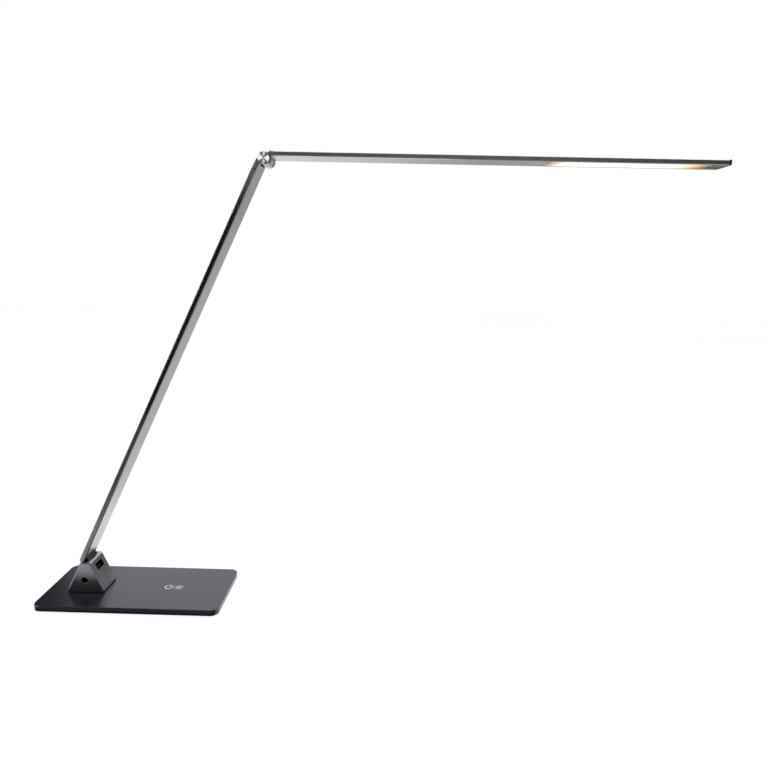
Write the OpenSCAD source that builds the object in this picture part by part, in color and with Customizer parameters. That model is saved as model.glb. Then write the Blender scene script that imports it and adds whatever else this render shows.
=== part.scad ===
// Folding LED desk lamp: a weighted base, a tent-shaped hinge block with the power sockets,
// and two flat aluminium arms that fold against each other, the upper one carrying the light.
// Millimetres. Origin: centre of the base's underside. +X is the lamp's reach, +Z is up.

/* [Base plate] */
// Length of the base, along the lamp's reach
base_len = 180; // [172:1:200]
// Width of the base
base_wid = 91; // [84:1:110]
// Height of the base's top face above the table
base_top = 6.5; // [6:0.1:7]
// Corner radius of the base, seen from above
base_corner_r = 8; // [5:0.5:12]
// Round-over along the cover's top edge
base_edge_r = 0.9; // [0.5:0.1:0.9]
// Thickness of the anti-slip pad under the base
pad_thk = 0.8; // [0.5:0.1:1]

/* [Hinge block] */
// Distance of the hinge block from the base's centre, away from the reach
block_back = 50; // [45:0.5:55]
// Width of the block at its foot
block_foot = 38.5; // [38:0.5:40]
// Height of the block's ridge above the base
block_rise = 30.8; // [30:0.2:31]
// Slope of the block's two flanks, from level
flank_deg = 65; // [65:0.5:66]
// Rounding of the ridge's two edges
ridge_r = 2.6; // [2:0.1:3]
// Bevel around the block's front and rear faces
block_bevel = 1; // [0.6:0.1:1.2]
// Wall thickness of the block
block_wall = 2; // [1.8:0.1:2.2]

/* [Sockets] */
// Diameter of the opening for the power plug
jack_d = 6.4; // [6.2:0.1:6.6]
// Height of the power opening above the base
jack_rise = 12.2; // [11.8:0.1:12.2]
// Distance of the power opening from the middle of the block's face, away from the port
jack_side = 1; // [0:0.5:1.5]
// Length of the charging port's opening
usb_w = 14.4; // [14.2:0.1:14.8]
// Height of the charging port's opening
usb_h = 7.2; // [7:0.1:7.4]
// Distance of the port's centre from the ridge, down the flank
usb_down = 8.4; // [8.2:0.1:9]

/* [Arms] */
// Width of both arms
arm_w = 30; // [30:0.5:32]
// Thickness of both arms
arm_t = 5; // [4.8:0.1:5.4]
// Distance between the two hinge axes, along the lower arm
lower_len = 431; // [428:1:450]
// Reach of the upper arm from the elbow axis to its tip
upper_len = 417; // [405:1:418]
// Angle of the lower arm from level, as stored
rest_tilt = 65; // [60:1:75]
// Wall thickness of the arm profiles
arm_wall = 1; // [0.9:0.05:1.1]
// Bevel along the long edges of the arms
arm_bevel = 0.8; // [0.3:0.1:0.8]

/* [Hinges] */
// Gap between the ridge and the lower arm's rounded foot
ridge_gap = 0.3; // [0.3:0.05:0.6]
// Distance of the base hinge's axis behind the middle of the ridge
axis_back = 2.8; // [1.6:0.1:2.8]
// Diameter of the base hinge's pin
base_pin_d = 3; // [2.8:0.1:3]
// Radius of the elbow's knuckles and end caps
elbow_eye_r = 5.7; // [5.5:0.1:5.8]
// Depth of the elbow's axis under the outer faces of the arms
elbow_in = 6.3; // [6.2:0.1:6.6]
// Diameter of the elbow's pin
elbow_pin_d = 4; // [3.6:0.1:4]

/* [Light window] */
// Distance from the elbow's axis to the light window
window_from = 255; // [240:1:256]
// Length of the light window
window_len = 145; // [120:1:145]
// Depth of the diffuser below the arm's underside
window_sunk = 0.5; // [0.2:0.1:0.6]
// Number of LED packages in each of the two rows
led_per_row = 20; // [12:1:22]

/* [Hidden] */
$fn = 64;
over = 1;               // how far a cutter runs past the face that it opens

// base, heights above the table
skin = 1;               // wall of the pressed cover
bottom_thk = 1;
plate_low = pad_thk + bottom_thk;
plate_high = base_top - skin;
screw_x = base_len / 2 - 12;
screw_y = base_wid / 2 - 12;
touch_x = 33.4;         // the touch key lies on the base's centre line
touch_size = [26, 18];
touch_thk = 1.2;
bore_r = 1.25;          // screws of the cover and the block, and their threaded bores
lead_r = 0.7;           // one core of the twin lead in the arms
riser_r = 0.8;          // the leads inside the base and the block

// hinge block
block_x = -block_back;
block_depth = arm_w;
gasket_h = 1.5;
block_low = base_top + gasket_h;
ridge_z = base_top + block_rise;
block_half = block_foot / 2 - gasket_h / tan(flank_deg);
ridge_half = block_half - (ridge_z - block_low) / tan(flank_deg);
wall_run = block_wall / sin(flank_deg);
jack_x = block_x - jack_side;
jack_z = base_top + jack_rise;
boss_x = 13.2;
board_z = jack_z - 6.7;
board_thk = 1.2;
jack_ease = 0.25;
jack_barrel_r = jack_d / 2 + 0.5;
usb_depth = 9.5;
usb_back = 2;           // the receptacle's closed end
usb_sunk = 0.7;         // of its mouth below the flank
usb_shell_size = [6.2, 13.6];
usb_sheet = 0.5;
slot_half = 2.6;        // half-width of the ridge's slot for the knuckle
flange_h = 1.8;

// arms: the outer face of the lower arm is its upper left one, that of the upper arm its top
base_eye_r = arm_t / 2;
base_axis_x = block_x - axis_back;
base_axis_z = ridge_z + ridge_gap + base_eye_r;
base_in = base_eye_r;
elbow_drop = elbow_in - base_in;
elbow_x = base_axis_x + lower_len * cos(rest_tilt) + elbow_drop * sin(rest_tilt);
elbow_z = base_axis_z + lower_len * sin(rest_tilt) - elbow_drop * cos(rest_tilt);
duct_h = arm_t - 2 * arm_wall;
rib_y = 4.5;            // half-width of the lead's duct between the profile's two ribs
prong_gap = 0.1;
prong_len = 20;
ledge = 1;

// hinge stack, stations along Y from the centre
cheek_in = arm_w / 2 - 4.7;
lug_out = arm_w / 2 - 1.5;
lug_in = arm_w / 2 - 6.7;
washer_thk = 0.4;
run_gap = 0.05;         // running clearance of the pins and of the washers
seat_gap = 0.02;        // of a pin in the parts that hold it
swing_gap = 0.35;       // of the upper arm's end around the lugs and caps
pin_cover = 1.2;        // the front cheek closes the base pin's bore
cap_proud = 0.3;
fork_bar = [5.5, 15];     // the fork's bar, along the lower arm from the base axis
elbow_bar = [-12.5, -6.9];
tongue_bar = [4.6, 9];
sink_r = 4;
sink_depth = 2.2;
lug_neck = cheek_in - washer_thk - run_gap;
knuckle_screw_y = lug_neck + 1.5;

window_to = window_from + window_len;
tip_thk = 2.5;
tip_step = 0.4;

// ---- placing ----

// extrudes an outline drawn in X and Z between two stations of Y
module along_y(from, to)
    translate([0, to, 0]) rotate([90, 0, 0]) linear_extrude(to - from) children();

// extrudes a section drawn in Y and Z between two stations of X
module along_x(from, to)
    translate([from, 0, 0]) rotate([90, 0, 90]) linear_extrude(to - from) children();

// a round bar along Y between two stations
module bar_y(r, from, to)
    translate([0, to, 0]) rotate([90, 0, 0]) cylinder(r = r, h = to - from);

// both sides of the centre plane
module both_sides() {
    children();
    mirror([0, 1, 0]) children();
}

// the lower arm's frame: origin on the base axis, +X up the arm, +Z towards its outer face
module on_lower() translate([base_axis_x, 0, base_axis_z]) rotate([0, -rest_tilt, 0]) children();

// the same frame moved up to the elbow's axis
module on_lower_elbow() on_lower() translate([lower_len, 0, -elbow_drop]) children();

// the upper arm's frame: origin on the elbow's axis, +X out to the tip
module on_upper() translate([elbow_x, 0, elbow_z]) children();

// the charging port's frame: origin on the flank, +Z straight out of it, +X down the slope
module on_flank()
    translate([block_x + ridge_half + usb_down * cos(flank_deg), 0, ridge_z - usb_down * sin(flank_deg)])
        rotate([0, flank_deg, 0]) children();

// ---- shapes ----

module round_rect(len, wid, r) {
    square([len - 2 * r, wid], center = true);
    square([len, wid - 2 * r], center = true);
    for (x = [-1, 1], y = [-1, 1])
        translate([x * (len / 2 - r), y * (wid / 2 - r)]) circle(r);
}

// outline of a plate whose two upper edges are rounded over
module eased_outline(wid, h, e) {
    translate([-wid / 2, 0]) square([wid, h - e]);
    translate([-wid / 2 + e, 0]) square([wid - 2 * e, h]);
    for (side = [-1, 1]) translate([side * (wid / 2 - e), h - e]) circle(e);
}

// plate with round corners and a round-over all along its upper edge
module eased_plate(len, wid, r, h, e) {
    along_y(-wid / 2 + r, wid / 2 - r) eased_outline(len, h, e);
    along_x(-len / 2 + r, len / 2 - r) eased_outline(wid, h, e);
    for (x = [-1, 1], y = [-1, 1])
        translate([x * (len / 2 - r), y * (wid / 2 - r), 0]) rotate_extrude() {
            square([r, h - e]);
            square([r - e, h]);
            translate([r - e, h - e]) circle(e);
        }
}

module bevelled_rect(wid, h, b)
    polygon([[-wid / 2 + b, 0], [wid / 2 - b, 0], [wid / 2, b], [wid / 2, h - b],
             [wid / 2 - b, h], [-wid / 2 + b, h], [-wid / 2, h - b], [-wid / 2, b]]);

// the block's outline: a trapezium whose ridge edges are arcs tangent to ridge and flank
module block_outline(inset) {
    half = block_half - inset / sin(flank_deg);
    high = ridge_z - block_low - inset;
    r = ridge_r - inset;
    arc_x = half - (r + (high - r) * cos(flank_deg)) / sin(flank_deg);
    touch = [arc_x + r * sin(flank_deg), high - r + r * cos(flank_deg)];
    polygon([[-half, 0], [half, 0], touch, [arc_x, high], [-arc_x, high], [-touch.x, touch.y]]);
    for (side = [-1, 1]) translate([side * arc_x, high - r]) circle(r, $fn = 32);
}

// where a line from point p meets a circle of radius r about the origin, on the chosen side
function tangent_at(p, r, side) =
    let (a = atan2(p.y, p.x) + side * acos(r / norm(p))) [r * cos(a), r * sin(a)];

// countersunk screw pointing along -Z with its head's face at z = 0
module flat_screw(r, head_r, len) {
    translate([0, 0, -(head_r - r)]) cylinder(r1 = r, r2 = head_r, h = head_r - r);
    translate([0, 0, -len]) cylinder(r = r, h = len);
}

// ---- base ----

module screw_places() for (x = [-1, 1], y = [-1, 1]) translate([x * screw_x, y * screw_y, 0]) children();

module base_cover() color("#2e2e33") difference() {
    union() {
        difference() {
            translate([0, 0, pad_thk])
                eased_plate(base_len, base_wid, base_corner_r, base_top - pad_thk, base_edge_r);
            translate([0, 0, pad_thk - over]) linear_extrude(plate_high - pad_thk + over)
                round_rect(base_len - 2 * skin, base_wid - 2 * skin, base_corner_r - skin);
        }
        screw_places() translate([0, 0, plate_low]) cylinder(r = 3, h = plate_high - plate_low + skin / 2);
    }
    screw_places() translate([0, 0, plate_low - over])
        cylinder(r = bore_r, h = plate_high - plate_low + over);
    for (side = [-1, 1]) translate([block_x + side * boss_x, 0, plate_high - over])
        cylinder(r = 1.6, h = skin + 2 * over);
    translate([block_x + 6, 8, plate_high - over]) cylinder(r = 2, h = skin + 2 * over);
}

module weight_plate() color("#8d8f92") difference() {
    translate([0, 0, plate_low]) linear_extrude(plate_high - plate_low)
        round_rect(base_len - 2 * skin - 1, base_wid - 2 * skin - 1, base_corner_r - skin - 0.5);
    translate([0, 0, plate_low - over]) linear_extrude(plate_high - plate_low + 2 * over) {
        for (x = [-1, 1], y = [-1, 1]) translate([x * screw_x, y * screw_y]) circle(3.3);
        for (side = [-1, 1]) translate([block_x + side * boss_x, 0]) circle(3.4);
        translate([touch_x, 0]) round_rect(touch_size.x, touch_size.y, 2);
        translate([block_x + 4, 6]) square([touch_x - block_x - 4, 4]);
    }
}

module bottom_cover() color("#3a3a3e") difference() {
    translate([0, 0, pad_thk]) linear_extrude(bottom_thk)
        round_rect(base_len - 2 * skin - 0.3, base_wid - 2 * skin - 0.3, base_corner_r - skin - 0.2);
    screw_places() translate([0, 0, pad_thk]) mirror([0, 0, 1]) flat_screw(bore_r, bore_r + 1, 3);
}

module rest_pad() color("#1b1b1c") linear_extrude(pad_thk)
    round_rect(base_len - 3, base_wid - 3, base_corner_r - 1.5);

module cover_screws() color("#a8a8ab")
    screw_places() translate([0, 0, pad_thk]) mirror([0, 0, 1]) difference() {
        flat_screw(bore_r, bore_r + 1, plate_high - pad_thk - 0.4);
        translate([0, 0, -0.5]) cylinder(r = 0.9, h = 1, $fn = 6);
    }

module touch_board() color("#2f6a3a") translate([touch_x, 0, plate_low]) {
    linear_extrude(touch_thk) round_rect(touch_size.x - 1, touch_size.y - 1, 1.5);
    translate([-7, -3, touch_thk]) cube([4, 5, 1.2]);
}

module touch_foam() color("#232325") translate([touch_x + 3, 0, plate_low + touch_thk])
    cylinder(r = 5, h = plate_high - plate_low - touch_thk);

// lead from the control board down into the weight plate's groove and along it to the touch key
module base_lead() color("#c9302c") {
    low = plate_low + touch_thk + riser_r;
    out = [block_x + 6, 8];
    end_x = touch_x - touch_size.x / 2 + 3;
    translate([out.x, out.y, low]) {
        cylinder(r = riser_r, h = board_z - low);
        sphere(r = riser_r);
        rotate([0, 90, 0]) cylinder(r = riser_r, h = end_x - out.x);
    }
}

// ---- hinge block ----

module hinge_block() color("#6c7077") {
    translate([block_x, 0, block_low]) difference() {
        hull() {
            along_y(-block_depth / 2, block_depth / 2) block_outline(block_bevel);
            along_y(-block_depth / 2 + block_bevel, block_depth / 2 - block_bevel) block_outline(0);
        }
        difference() {
            along_y(-block_depth / 2 + block_wall, block_depth / 2 - block_wall) block_hollow();
            for (side = [-1, 1]) translate([side * boss_x, 0, -2 * over]) cylinder(r = 2.7, h = 7.5);
        }
        // power socket, charging port and the slot for the knuckle
        translate([-jack_side, 0, jack_z - block_low]) {
            bar_y(jack_d / 2, -block_depth / 2 - over, 0);
            translate([0, -block_depth / 2, 0]) rotate([90, 0, 0])
                translate([0, 0, -jack_ease])
                    cylinder(r1 = jack_d / 2, r2 = jack_d / 2 + 2 * jack_ease, h = 2 * jack_ease);
        }
        translate([-block_x, 0, -block_low]) on_flank() translate([0, 0, -2 * block_wall])
            linear_extrude(3 * block_wall) round_rect(usb_h, usb_w, 0.8);
        translate([-slot_half, -lug_neck, ridge_z - block_low - 2 * block_wall])
            cube([2 * slot_half, 2 * lug_neck, 3 * block_wall]);
        for (side = [-1, 1]) translate([0, side * knuckle_screw_y, ridge_z - block_low - block_wall - over])
            cylinder(r = 1, h = 0.7 * block_wall + over);
        for (side = [-1, 1]) translate([side * boss_x, 0, -2 * over]) cylinder(r = bore_r, h = 8);
    }
    // the screw bosses stand on the cover, inside the gasket
    translate([block_x, 0, base_top]) for (side = [-1, 1]) translate([side * boss_x, 0, 0])
        difference() {
            cylinder(r = 2.7, h = gasket_h + 2);
            translate([0, 0, -over]) cylinder(r = bore_r, h = gasket_h + 2 + 2 * over);
        }
}

// the hollow leaves a rib across each flank, level with the board
module block_hollow() difference() {
    half = block_half - wall_run;
    high = ridge_z - block_low - block_wall;
    top_half = half - high / tan(flank_deg);
    polygon([[-half - over / tan(flank_deg), -over], [half + over / tan(flank_deg), -over],
             [top_half, high], [-top_half, high]]);
    rib = board_z - block_low;
    for (side = [-1, 1]) polygon([[side * 30, rib - 1.2], [side * 30, rib],
                                  [side * 9.4, rib], [side * 10.6, rib - 1.2]]);
}

module block_gasket() color("#1d1d1f") translate([block_x, 0, base_top])
    linear_extrude(gasket_h) difference() {
        round_rect(block_foot - 1.6, block_depth - 1.6, 1.5);
        round_rect(block_foot - 5.4, block_depth - 6, 1);
    }

module block_screws() color("#a8a8ab")
    for (side = [-1, 1]) translate([block_x + side * boss_x, 0, plate_high]) {
        difference() {
            translate([0, 0, -1.8]) cylinder(r = 3, h = 1.8);
            translate([0, 0, -1.8 - over]) cylinder(r = 1.2, h = 1 + over, $fn = 6);
        }
        cylinder(r = bore_r, h = skin + 6.5);
    }

module control_board() color("#2f6a3a") translate([block_x, 0, board_z])
    linear_extrude(board_thk) difference() {
        square([20, block_depth - 2 * block_wall - 1], center = true);
        translate([6, 8]) circle(1.2);
        translate([0, 8.6]) circle(1.2);
    }

// coil, capacitor and controller on the board's rear half
module board_parts() color("#2a2a2c") translate([block_x, 0, board_z + board_thk]) {
    translate([-8.5, 2, 0]) cube([5.5, 5.5, 3]);
    translate([3.5, 4, 0]) cylinder(r = 2.4, h = 5.5);
    translate([-8.2, 8.1, 0]) cube([4, 4, 1]);
}

// pressed short-body receptacle: an open mouth and a closed back
module usb_shell() color("#b9bcc0") on_flank() translate([0, 0, -usb_depth - usb_sunk]) difference() {
    linear_extrude(usb_depth) round_rect(usb_shell_size.x, usb_shell_size.y, 0.6);
    translate([0, 0, usb_back]) linear_extrude(usb_depth)
        round_rect(usb_shell_size.x - 2 * usb_sheet, usb_shell_size.y - 2 * usb_sheet, 0.3);
}

module usb_tongue() color("#d8d8d6") on_flank()
    translate([0.4, -5.6, usb_back - usb_depth - usb_sunk])
        cube([1.8, 11.2, usb_depth - usb_back - 1.4]);

module usb_contacts() color("#c9a24a") on_flank() for (i = [-1.5 : 1 : 1.5])
    translate([0.2, i * 2.5 - 0.6, usb_back - usb_depth - usb_sunk])
        cube([0.2, 1.2, usb_depth - usb_back - 2]);

// moulded socket: a round barrel on a square foot that stands on the board
module jack_body() color("#1f1f21") translate([jack_x, 0, jack_z]) difference() {
    union() {
        bar_y(jack_barrel_r, -block_depth / 2 + block_wall, -1);
        translate([-4.5, -block_depth / 2 + block_wall, -5.5])
            cube([9, block_depth / 2 - block_wall - 1, 4.2]);
    }
    bar_y(jack_d / 2 - 0.1, -block_depth / 2, -4);
}

module jack_pin() color("#c8c8c4") translate([jack_x, -block_depth / 2 + 5, jack_z]) {
    sphere(r = 1);
    bar_y(1, 0, block_depth / 2 - 9);
}

// zinc knuckle: barrel on a leaning neck, passed up through the ridge and flanged beneath it
module hinge_knuckle() color("#3b3d41") difference() {
    union() {
        translate([base_axis_x, 0, base_axis_z]) along_y(-lug_neck, lug_neck) {
            left = [axis_back - slot_half, ridge_z - base_axis_z];
            right = [axis_back + slot_half, ridge_z - base_axis_z];
            circle(base_eye_r);
            polygon([[0, 0], tangent_at(left, base_eye_r, -1), left,
                     right, tangent_at(right, base_eye_r, 1)]);
            translate([left.x, left.y - block_wall - over]) square([2 * slot_half, block_wall + over]);
        }
        translate([block_x, 0, ridge_z - block_wall - flange_h / 2])
            cube([2 * slot_half + 0.4, 2 * knuckle_screw_y + 2.6, flange_h], center = true);
    }
    translate([base_axis_x, 0, base_axis_z]) bar_y(base_pin_d / 2 + run_gap, -arm_w, arm_w);
    for (side = [-1, 1]) translate([block_x, side * knuckle_screw_y, ridge_z - 10])
        cylinder(r = 1, h = 10);
    translate([block_x, 5, ridge_z - 10]) cylinder(r = 1.2, h = 8.6);
}

module knuckle_screws() color("#a8a8ab") for (side = [-1, 1])
    translate([block_x, side * knuckle_screw_y, ridge_z - block_wall - flange_h]) {
        cylinder(r = 1, h = flange_h + 0.6 * block_wall);
        translate([0, 0, -1.1]) cylinder(r = 1.25, h = 1.1);
    }

// lead from the control board up the back of the block and into the knuckle's neck
module riser_lead() color("#c9302c") {
    out_y = 8.6;
    in_y = 5;
    step_z = ridge_z - 6.4;
    translate([block_x, out_y, 0]) {
        translate([0, 0, board_z]) cylinder(r = riser_r, h = step_z - board_z);
        translate([0, 0, step_z]) sphere(r = riser_r);
    }
    translate([block_x, 0, step_z]) bar_y(riser_r, in_y, out_y);
    translate([block_x, in_y, step_z]) {
        sphere(r = riser_r);
        cylinder(r = riser_r, h = 4.4);
    }
}

// ---- base hinge and lower arm ----

// the arm's own section carried on to a rounded foot, open in the middle for the knuckle
module lower_fork() color("#84878b") on_lower() difference() {
    union() {
        both_sides() {
            bar_y(base_eye_r, cheek_in, arm_w / 2 - arm_bevel);
            translate([0, arm_w / 2, 0]) rotate([90, 0, 0])
                cylinder(r1 = base_eye_r - arm_bevel, r2 = base_eye_r, h = arm_bevel);
        }
        translate([0, 0, base_in - arm_t]) {
            along_x(0, fork_bar[0]) difference() {
                bevelled_rect(arm_w, arm_t, arm_bevel);
                translate([-cheek_in, -over]) square([2 * cheek_in, arm_t + 2 * over]);
            }
            along_x(fork_bar[0], fork_bar[1]) bevelled_rect(arm_w, arm_t, arm_bevel);
            prongs(fork_bar[1], fork_bar[1] + prong_len, arm_wall, arm_w / 2 - arm_wall);
        }
    }
    bar_y(base_pin_d / 2 + seat_gap, -arm_w / 2 + pin_cover, arm_w);
    // the lead's way into the profile
    translate([fork_bar[0] - over, -2, base_in - arm_t / 2 - 1]) cube([fork_bar[1], 4, 2]);
    fork_screw_places() flat_screw(1, 1.9, 3.4);
}

// a pair of flat prongs that slide into the profile on either side of the lead's duct
module prongs(from, to, low, out) both_sides() translate([0, 0, low + prong_gap / 2])
    along_x(from, to) translate([rib_y + 1 + prong_gap / 2, 0])
        square([out - rib_y - 1 - prong_gap, duct_h - prong_gap]);

module fork_screw_places() both_sides() translate([fork_bar[1] + 12, 9.5, base_in]) children();

// driven in from the rear, with a chamfered tail that ends just below the cheek's face
module base_pin() color("#c3c5c8") on_lower() {
    bar_y(base_pin_d / 2, -arm_w / 2 + pin_cover + 0.1, arm_w / 2 - 0.5);
    translate([0, arm_w / 2 - 0.1, 0]) rotate([90, 0, 0])
        cylinder(r1 = base_pin_d / 2 - 0.4, r2 = base_pin_d / 2, h = 0.4);
}

module base_washers() color("#b08d3f") on_lower() both_sides() difference() {
    bar_y(base_eye_r - 0.2, cheek_in - washer_thk, cheek_in);
    bar_y(base_pin_d / 2 + seat_gap, 0, arm_w);
}

module fork_screws() color("#9b9da0") on_lower() fork_screw_places() hex_screw();

module hex_screw() difference() {
    flat_screw(1, 1.9, 3.2);
    translate([0, 0, -0.8]) cylinder(r = 0.75, h = 1, $fn = 6);
}

// extruded aluminium: bevelled edges, two ribs that make a duct for the lead
module lower_profile() color("#9a9da1") on_lower() translate([0, 0, base_in - arm_t]) difference() {
    along_x(fork_bar[1], lower_len + elbow_bar[0]) difference() {
        bevelled_rect(arm_w, arm_t, arm_bevel);
        translate([-rib_y, arm_wall]) square([2 * rib_y, duct_h]);
        for (side = [-1, 1]) translate([side * (arm_w / 2 - arm_wall + rib_y + 1) / 2, arm_t / 2])
            square([arm_w / 2 - arm_wall - rib_y - 1, duct_h], center = true);
    }
    translate([0, 0, arm_t - base_in]) fork_screw_places() flat_screw(1, 1.9, 2);
    translate([lower_len, 0, arm_t - elbow_in]) elbow_fork_screw_places() flat_screw(1, 1.9, 2);
}

// twin lead in the middle duct
module lower_lead() color("#2a2a2c") on_lower() translate([0, 0, base_in - arm_t / 2])
    for (side = [-1, 1]) translate([fork_bar[1] + 1, side * 0.75, 0])
        rotate([0, 90, 0]) cylinder(r = lead_r, h = lower_len + elbow_bar[0] - fork_bar[1] - 2);

// ---- elbow ----

// the elbow's end of the lower arm: two lugs that carry the pin, sunk for its head and nut
module elbow_fork() color("#55585d") on_lower_elbow() difference() {
    union() {
        both_sides() along_y(lug_in, lug_out) {
            shoulder = [elbow_bar[1], elbow_in];
            circle(elbow_eye_r);
            polygon([[0, elbow_in - arm_t], tangent_at(shoulder, elbow_eye_r, -1), shoulder,
                     [elbow_bar[1], elbow_in - arm_t]]);
        }
        translate([0, 0, elbow_in - arm_t]) {
            along_x(elbow_bar[0], elbow_bar[1]) bevelled_rect(arm_w, arm_t, arm_bevel);
            prongs(elbow_bar[0] - prong_len, elbow_bar[0], arm_wall, arm_w / 2 - arm_wall);
        }
    }
    bar_y(elbow_pin_d / 2 + seat_gap, -arm_w, arm_w);
    both_sides() bar_y(sink_r, lug_out - sink_depth, arm_w);
    elbow_fork_screw_places() flat_screw(1, 1.9, 3.4);
}

module elbow_fork_screw_places()
    both_sides() translate([elbow_bar[0] - 12, 9.5, elbow_in]) children();

module elbow_fork_screws() color("#9b9da0") on_lower_elbow() elbow_fork_screw_places() hex_screw();

module elbow_pin() color("#c3c5c8") on_lower_elbow() {
    bar_y(elbow_pin_d / 2, -lug_out + 0.4, lug_out - sink_depth + 0.2);
    bar_y(sink_r - 0.5, lug_out - sink_depth, lug_out - 0.4);
}

module elbow_nut() color("#a8a8ab") on_lower_elbow() difference() {
    bar_y_hex(sink_r - 0.1, -lug_out + 0.5, -lug_out + sink_depth);
    bar_y(elbow_pin_d / 2 + seat_gap, -arm_w, 0);
}

module bar_y_hex(r, from, to)
    translate([0, to, 0]) rotate([90, 0, 0]) cylinder(r = r, h = to - from, $fn = 6);

module elbow_washers() color("#b08d3f") on_lower_elbow() both_sides() difference() {
    bar_y(elbow_eye_r - 0.3, lug_in - washer_thk, lug_in);
    bar_y(elbow_pin_d / 2 + seat_gap, 0, arm_w);
}

// turned cap: bevelled rim, shallow dished face with two grooves, and a pair of spanner holes
module elbow_cap(spanner) {
    thk = arm_w / 2 - lug_out + cap_proud;
    r = elbow_eye_r;
    difference() {
        rotate_extrude() difference() {
            polygon([[0, 0], [r, 0], [r, thk - 0.35], [r - 0.35, thk], [r - 0.9, thk],
                     [r - 1.1, thk - 0.15], [0, thk - 0.15]]);
            for (groove = [1.6, 3.2]) translate([groove, thk - 0.15]) circle(0.12, $fn = 16);
        }
        if (spanner) for (side = [-1, 1]) translate([0, side * 3.1, thk - 0.8])
            cylinder(r = 1.3, h = 0.8 + over);
    }
}

module elbow_cap_front() color("#d5d7da") translate([elbow_x, -lug_out, elbow_z])
    rotate([90, 0, 0]) elbow_cap(true);

module elbow_cap_rear() color("#d5d7da") translate([elbow_x, lug_out, elbow_z])
    rotate([-90, 0, 0]) elbow_cap(false);

// ---- upper arm ----

// the upper arm's knuckle, which turns on the pin between the fork's lugs; the bar beside it is
// hollowed out to follow the lugs and the caps
module elbow_tongue() color("#8e9196") on_upper() difference() {
    union() {
        along_y(-lug_in + washer_thk + run_gap, lug_in - washer_thk - run_gap) {
            shoulder = [tongue_bar[0], elbow_in];
            circle(elbow_eye_r);
            polygon([[0, elbow_in - arm_t], [tongue_bar[0], elbow_in - arm_t], shoulder,
                     tangent_at(shoulder, elbow_eye_r, 1)]);
        }
        translate([0, 0, elbow_in - arm_t]) {
            along_x(tongue_bar[0], tongue_bar[1]) bevelled_rect(arm_w, arm_t, arm_bevel);
            prongs(tongue_bar[1], tongue_bar[1] + prong_len, arm_wall, arm_w / 2 - arm_wall - ledge);
        }
    }
    bar_y(elbow_pin_d / 2 + run_gap, -arm_w, arm_w);
    both_sides() bar_y(elbow_eye_r + swing_gap, lug_in - washer_thk - run_gap, arm_w);
    translate([tongue_bar[0] - over, -2, elbow_in - arm_t / 2 - 1]) cube([tongue_bar[1], 4, 2]);
    elbow_tongue_screw_places() flat_screw(1, 1.9, 3.4);
}

module elbow_tongue_screw_places()
    both_sides() translate([tongue_bar[1] + 12, 9.3, elbow_in]) children();

module elbow_tongue_screws() color("#9b9da0") on_upper() elbow_tongue_screw_places() hex_screw();

// extruded channel, open below, with a ledge on each side that the under plate and diffuser meet
module upper_profile() color("#8b8d92") on_upper() difference() {
    translate([0, 0, elbow_in - arm_t]) along_x(tongue_bar[1], upper_len - tip_thk) {
        difference() {
            bevelled_rect(arm_w, arm_t, arm_bevel);
            translate([-arm_w / 2 + arm_wall, -over])
                square([arm_w - 2 * arm_wall, arm_t - arm_wall + over]);
        }
        for (side = [-1, 1]) translate([side * (arm_w / 2 - arm_wall - ledge / 2), arm_wall + 0.35])
            square([ledge, 0.7], center = true);
    }
    elbow_tongue_screw_places() flat_screw(1, 1.9, 2);
}

// a flat strip in the channel's mouth, between two stations along the arm
module channel_strip(from, to, thk) translate([0, 0, elbow_in - arm_t])
    translate([from, -arm_w / 2 + arm_wall, arm_wall - thk]) cube([to - from, arm_w - 2 * arm_wall, thk]);

module under_plate() color("#b4b6b9") on_upper() channel_strip(tongue_bar[1], window_from, arm_wall);

module upper_lead() color("#2a2a2c") on_upper() translate([0, 0, elbow_in - arm_t / 2])
    for (side = [-1, 1]) translate([tongue_bar[1] + 1, side * 0.75, 0])
        rotate([0, 90, 0]) cylinder(r = lead_r, h = window_from - tongue_bar[1]);

module led_board() color("#e9e9e4") on_upper()
    translate([window_from + 2, -11, elbow_in - arm_wall - 1]) cube([window_len - 4, 22, 1]);

module led_chips() color("#f2d36b") on_upper() {
    pitch = (window_len - 14) / (led_per_row - 1);
    for (i = [0 : led_per_row - 1], side = [-1, 1])
        translate([window_from + 7 + i * pitch - 1.4, side * 5.5 - 1.75, elbow_in - arm_wall - 1.7])
            cube([2.8, 3.5, 0.7]);
}

module diffuser() color("#f7f4ea") on_upper() channel_strip(window_from, window_to, arm_wall - window_sunk);

module tip_plate() color("#9c9ea2") on_upper() channel_strip(window_to, upper_len - tip_thk, arm_wall);

module tip_cap() color("#303136") on_upper() translate([0, 0, elbow_in - arm_t]) {
    along_x(upper_len - tip_thk, upper_len - tip_step) bevelled_rect(arm_w, arm_t, arm_bevel);
    along_x(upper_len - tip_step, upper_len) translate([0, tip_step])
        bevelled_rect(arm_w - 2 * tip_step, arm_t - 2 * tip_step, arm_bevel);
    both_sides() translate([upper_len - tip_thk - 8, 6, arm_wall + 0.1]) cube([8, 6.9, duct_h - 0.2]);
}

base_cover();
weight_plate();
bottom_cover();
rest_pad();
cover_screws();
touch_board();
touch_foam();
base_lead();
hinge_block();
block_gasket();
block_screws();
control_board();
board_parts();
usb_shell();
usb_tongue();
usb_contacts();
jack_body();
jack_pin();
hinge_knuckle();
knuckle_screws();
riser_lead();
lower_fork();
base_pin();
base_washers();
fork_screws();
lower_profile();
lower_lead();
elbow_fork();
elbow_fork_screws();
elbow_pin();
elbow_nut();
elbow_washers();
elbow_cap_front();
elbow_cap_rear();
elbow_tongue();
elbow_tongue_screws();
upper_profile();
under_plate();
upper_lead();
led_board();
led_chips();
diffuser();
tip_plate();
tip_cap();
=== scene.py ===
from math import atan2, cos, dist, pi, radians, sin

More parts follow.
